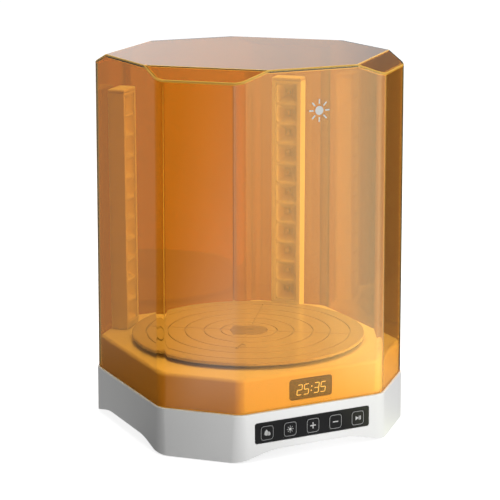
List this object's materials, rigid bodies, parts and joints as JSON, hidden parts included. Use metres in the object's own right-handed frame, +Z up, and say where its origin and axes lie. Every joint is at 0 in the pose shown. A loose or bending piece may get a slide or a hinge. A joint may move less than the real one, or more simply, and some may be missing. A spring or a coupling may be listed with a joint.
{
  "type": "uv curing lamp",
  "caption": "Tabletop curing lamp for resin prints: octagonal base with key strip, turntable, upright lamp columns and a lift-off orange hood.",
  "frame": {"origin": "on the floor under the turntable's axis, centre of the octagonal footprint", "axes": "+Z up along the turntable's axis, -Y towards the keys and display, +X to the right seen from the keys"},
  "size_m": [0.2334, 0.2334, 0.3164],
  "materials": {
    "white_plastic": "satin moulded, fine grain",
    "grey_plastic": "matte moulded",
    "orange_acrylic": "polished, clear orange",
    "smoked_acrylic": "polished, smoked",
    "circuit_board": "solder mask",
    "reflector_silver": "metallised plastic, modelled as thin metal",
    "dark_rubber": "matte",
    "brass": "turned",
    "zinc_steel": "zinc plated",
    "lead_cover": "extruded sleeve",
    "black_gloss": "polished black",
    "black_plastic": "matte black"
  },
  "bodies": {
    "base": {"base_shell": "white_plastic", "bottom_plate": "grey_plastic", "bottom_screw_back_left": "zinc_steel", "bottom_screw_back_right": "zinc_steel", "bottom_screw_front_left": "zinc_steel", "bottom_screw_front_right": "zinc_steel", "buzzer": "black_plastic", "capacitor": "black_plastic", "column_cap_left": "white_plastic", "column_cap_right": "white_plastic", "column_housing_left": "white_plastic", "column_housing_right": "white_plastic", "column_screw_left_a": "zinc_steel", "column_screw_left_b": "zinc_steel", "column_screw_right_a": "zinc_steel", "column_screw_right_b": "zinc_steel", "control_chip": "black_plastic", "deck": "white_plastic", "display_board": "circuit_board", "display_lens": "smoked_acrylic", "display_module": "black_plastic", "droplets_switch": "black_plastic", "gear_motor": "zinc_steel", "key_board": "circuit_board", "key_board_screw_left": "zinc_steel", "key_board_screw_right": "zinc_steel", "key_strip": "black_gloss", "lamp_board_left": "circuit_board", "lamp_board_right": "circuit_board", "lamp_lead_left": "lead_cover", "lamp_lead_right": "lead_cover", "lead_header": "grey_plastic", "main_board": "circuit_board", "minus_switch": "black_plastic", "motor_lead": "lead_cover", "motor_screw_left": "zinc_steel", "motor_screw_right": "zinc_steel", "play_pause_switch": "black_plastic", "plus_switch": "black_plastic", "power_inlet": "black_plastic", "reflector_left": "reflector_silver", "reflector_right": "reflector_silver", "rubber_pad_back_left": "dark_rubber", "rubber_pad_back_right": "dark_rubber", "rubber_pad_front_left": "dark_rubber", "rubber_pad_front_right": "dark_rubber", "shaft_bush": "brass", "sun_switch": "black_plastic"},
    "table": {"turntable": "white_plastic", "turntable_hub": "grey_plastic", "turntable_cap": "grey_plastic", "drive_shaft": "zinc_steel"},
    "cover": {"hood": "orange_acrylic"},
    "droplets_button": {"droplets_key": "black_gloss"},
    "sun_button": {"sun_key": "black_gloss"},
    "plus_button": {"plus_key": "black_gloss"},
    "minus_button": {"minus_key": "black_gloss"},
    "play_pause_button": {"play_pause_key": "black_gloss"}
  },
  "joints": [
    {"name": "table_spin", "type": "hinge", "parent": "base", "child": "table", "pos_m": [0, 0, 0.0693], "axis": [0, 0, 1], "continuous": true},
    {"name": "cover_lift", "type": "slide", "parent": "base", "child": "cover", "axis": [0, 0, 1], "range_m": [0, 0.26]},
    {"name": "droplets_press", "type": "slide", "parent": "base", "child": "droplets_button", "axis": [0, 1, 0], "range_m": [0, 0.0008], "stiffness_N_per_m": 500, "springref_m": -0.0005},
    {"name": "sun_press", "type": "slide", "parent": "base", "child": "sun_button", "axis": [0, 1, 0], "range_m": [0, 0.0008], "stiffness_N_per_m": 500, "springref_m": -0.0005},
    {"name": "plus_press", "type": "slide", "parent": "base", "child": "plus_button", "axis": [0, 1, 0], "range_m": [0, 0.0008], "stiffness_N_per_m": 500, "springref_m": -0.0005},
    {"name": "minus_press", "type": "slide", "parent": "base", "child": "minus_button", "axis": [0, 1, 0], "range_m": [0, 0.0008], "stiffness_N_per_m": 500, "springref_m": -0.0005},
    {"name": "play_pause_press", "type": "slide", "parent": "base", "child": "play_pause_button", "axis": [0, 1, 0], "range_m": [0, 0.0008], "stiffness_N_per_m": 500, "springref_m": -0.0005}
  ]
}
